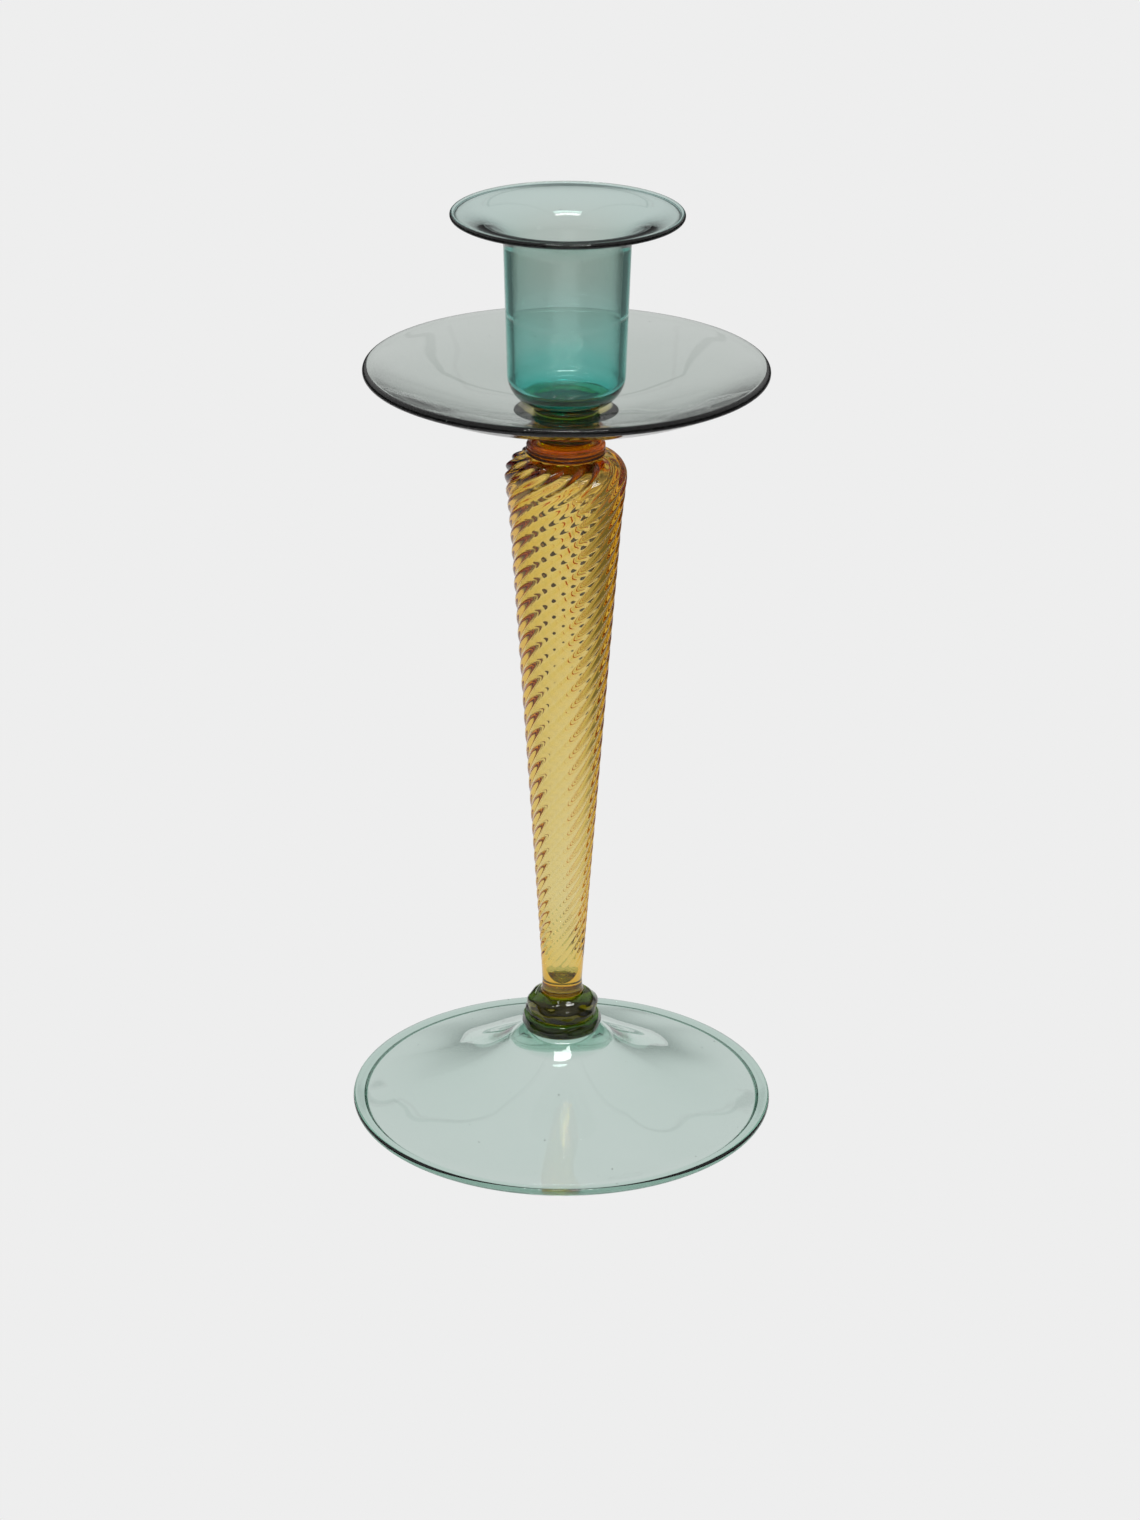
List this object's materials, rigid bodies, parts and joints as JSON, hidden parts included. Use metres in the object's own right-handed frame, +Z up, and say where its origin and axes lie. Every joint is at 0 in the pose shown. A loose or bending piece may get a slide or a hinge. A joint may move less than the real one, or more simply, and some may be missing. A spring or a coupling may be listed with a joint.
{
  "type": "glass candlestick",
  "caption": "Blown-glass candlestick: cone foot, knop, hollow ribbed amber stem, drip pan and flared teal candle cup.",
  "frame": {"origin": "on the axis of the stem, at the level of the table under the foot's rim", "axes": "+Z up along the stem; the piece is turned about Z, so X and Y are alike"},
  "size_m": [0.1106, 0.1106, 0.2423],
  "materials": {
    "aqua_glass": "fire-polished pale aqua glass with a few seeds",
    "teal_glass": "fire-polished teal glass with a few seeds",
    "green_glass": "thick bottle-green glass, lightly tooled",
    "olive_glass": "thin olive glass",
    "amber_glass": "amber glass, lightly tooled in rings",
    "pale_amber_glass": "pale amber glass with twisted optic ribs"
  },
  "bodies": {
    "root": {"foot": "aqua_glass", "foot_wafer": "green_glass", "knop": "green_glass", "stem": "pale_amber_glass", "stem_collar": "amber_glass", "neck": "amber_glass", "pan_wafer": "amber_glass", "drip_pan": "aqua_glass", "cup_seat": "olive_glass", "candle_cup": "teal_glass"}
  },
  "joints": []
}
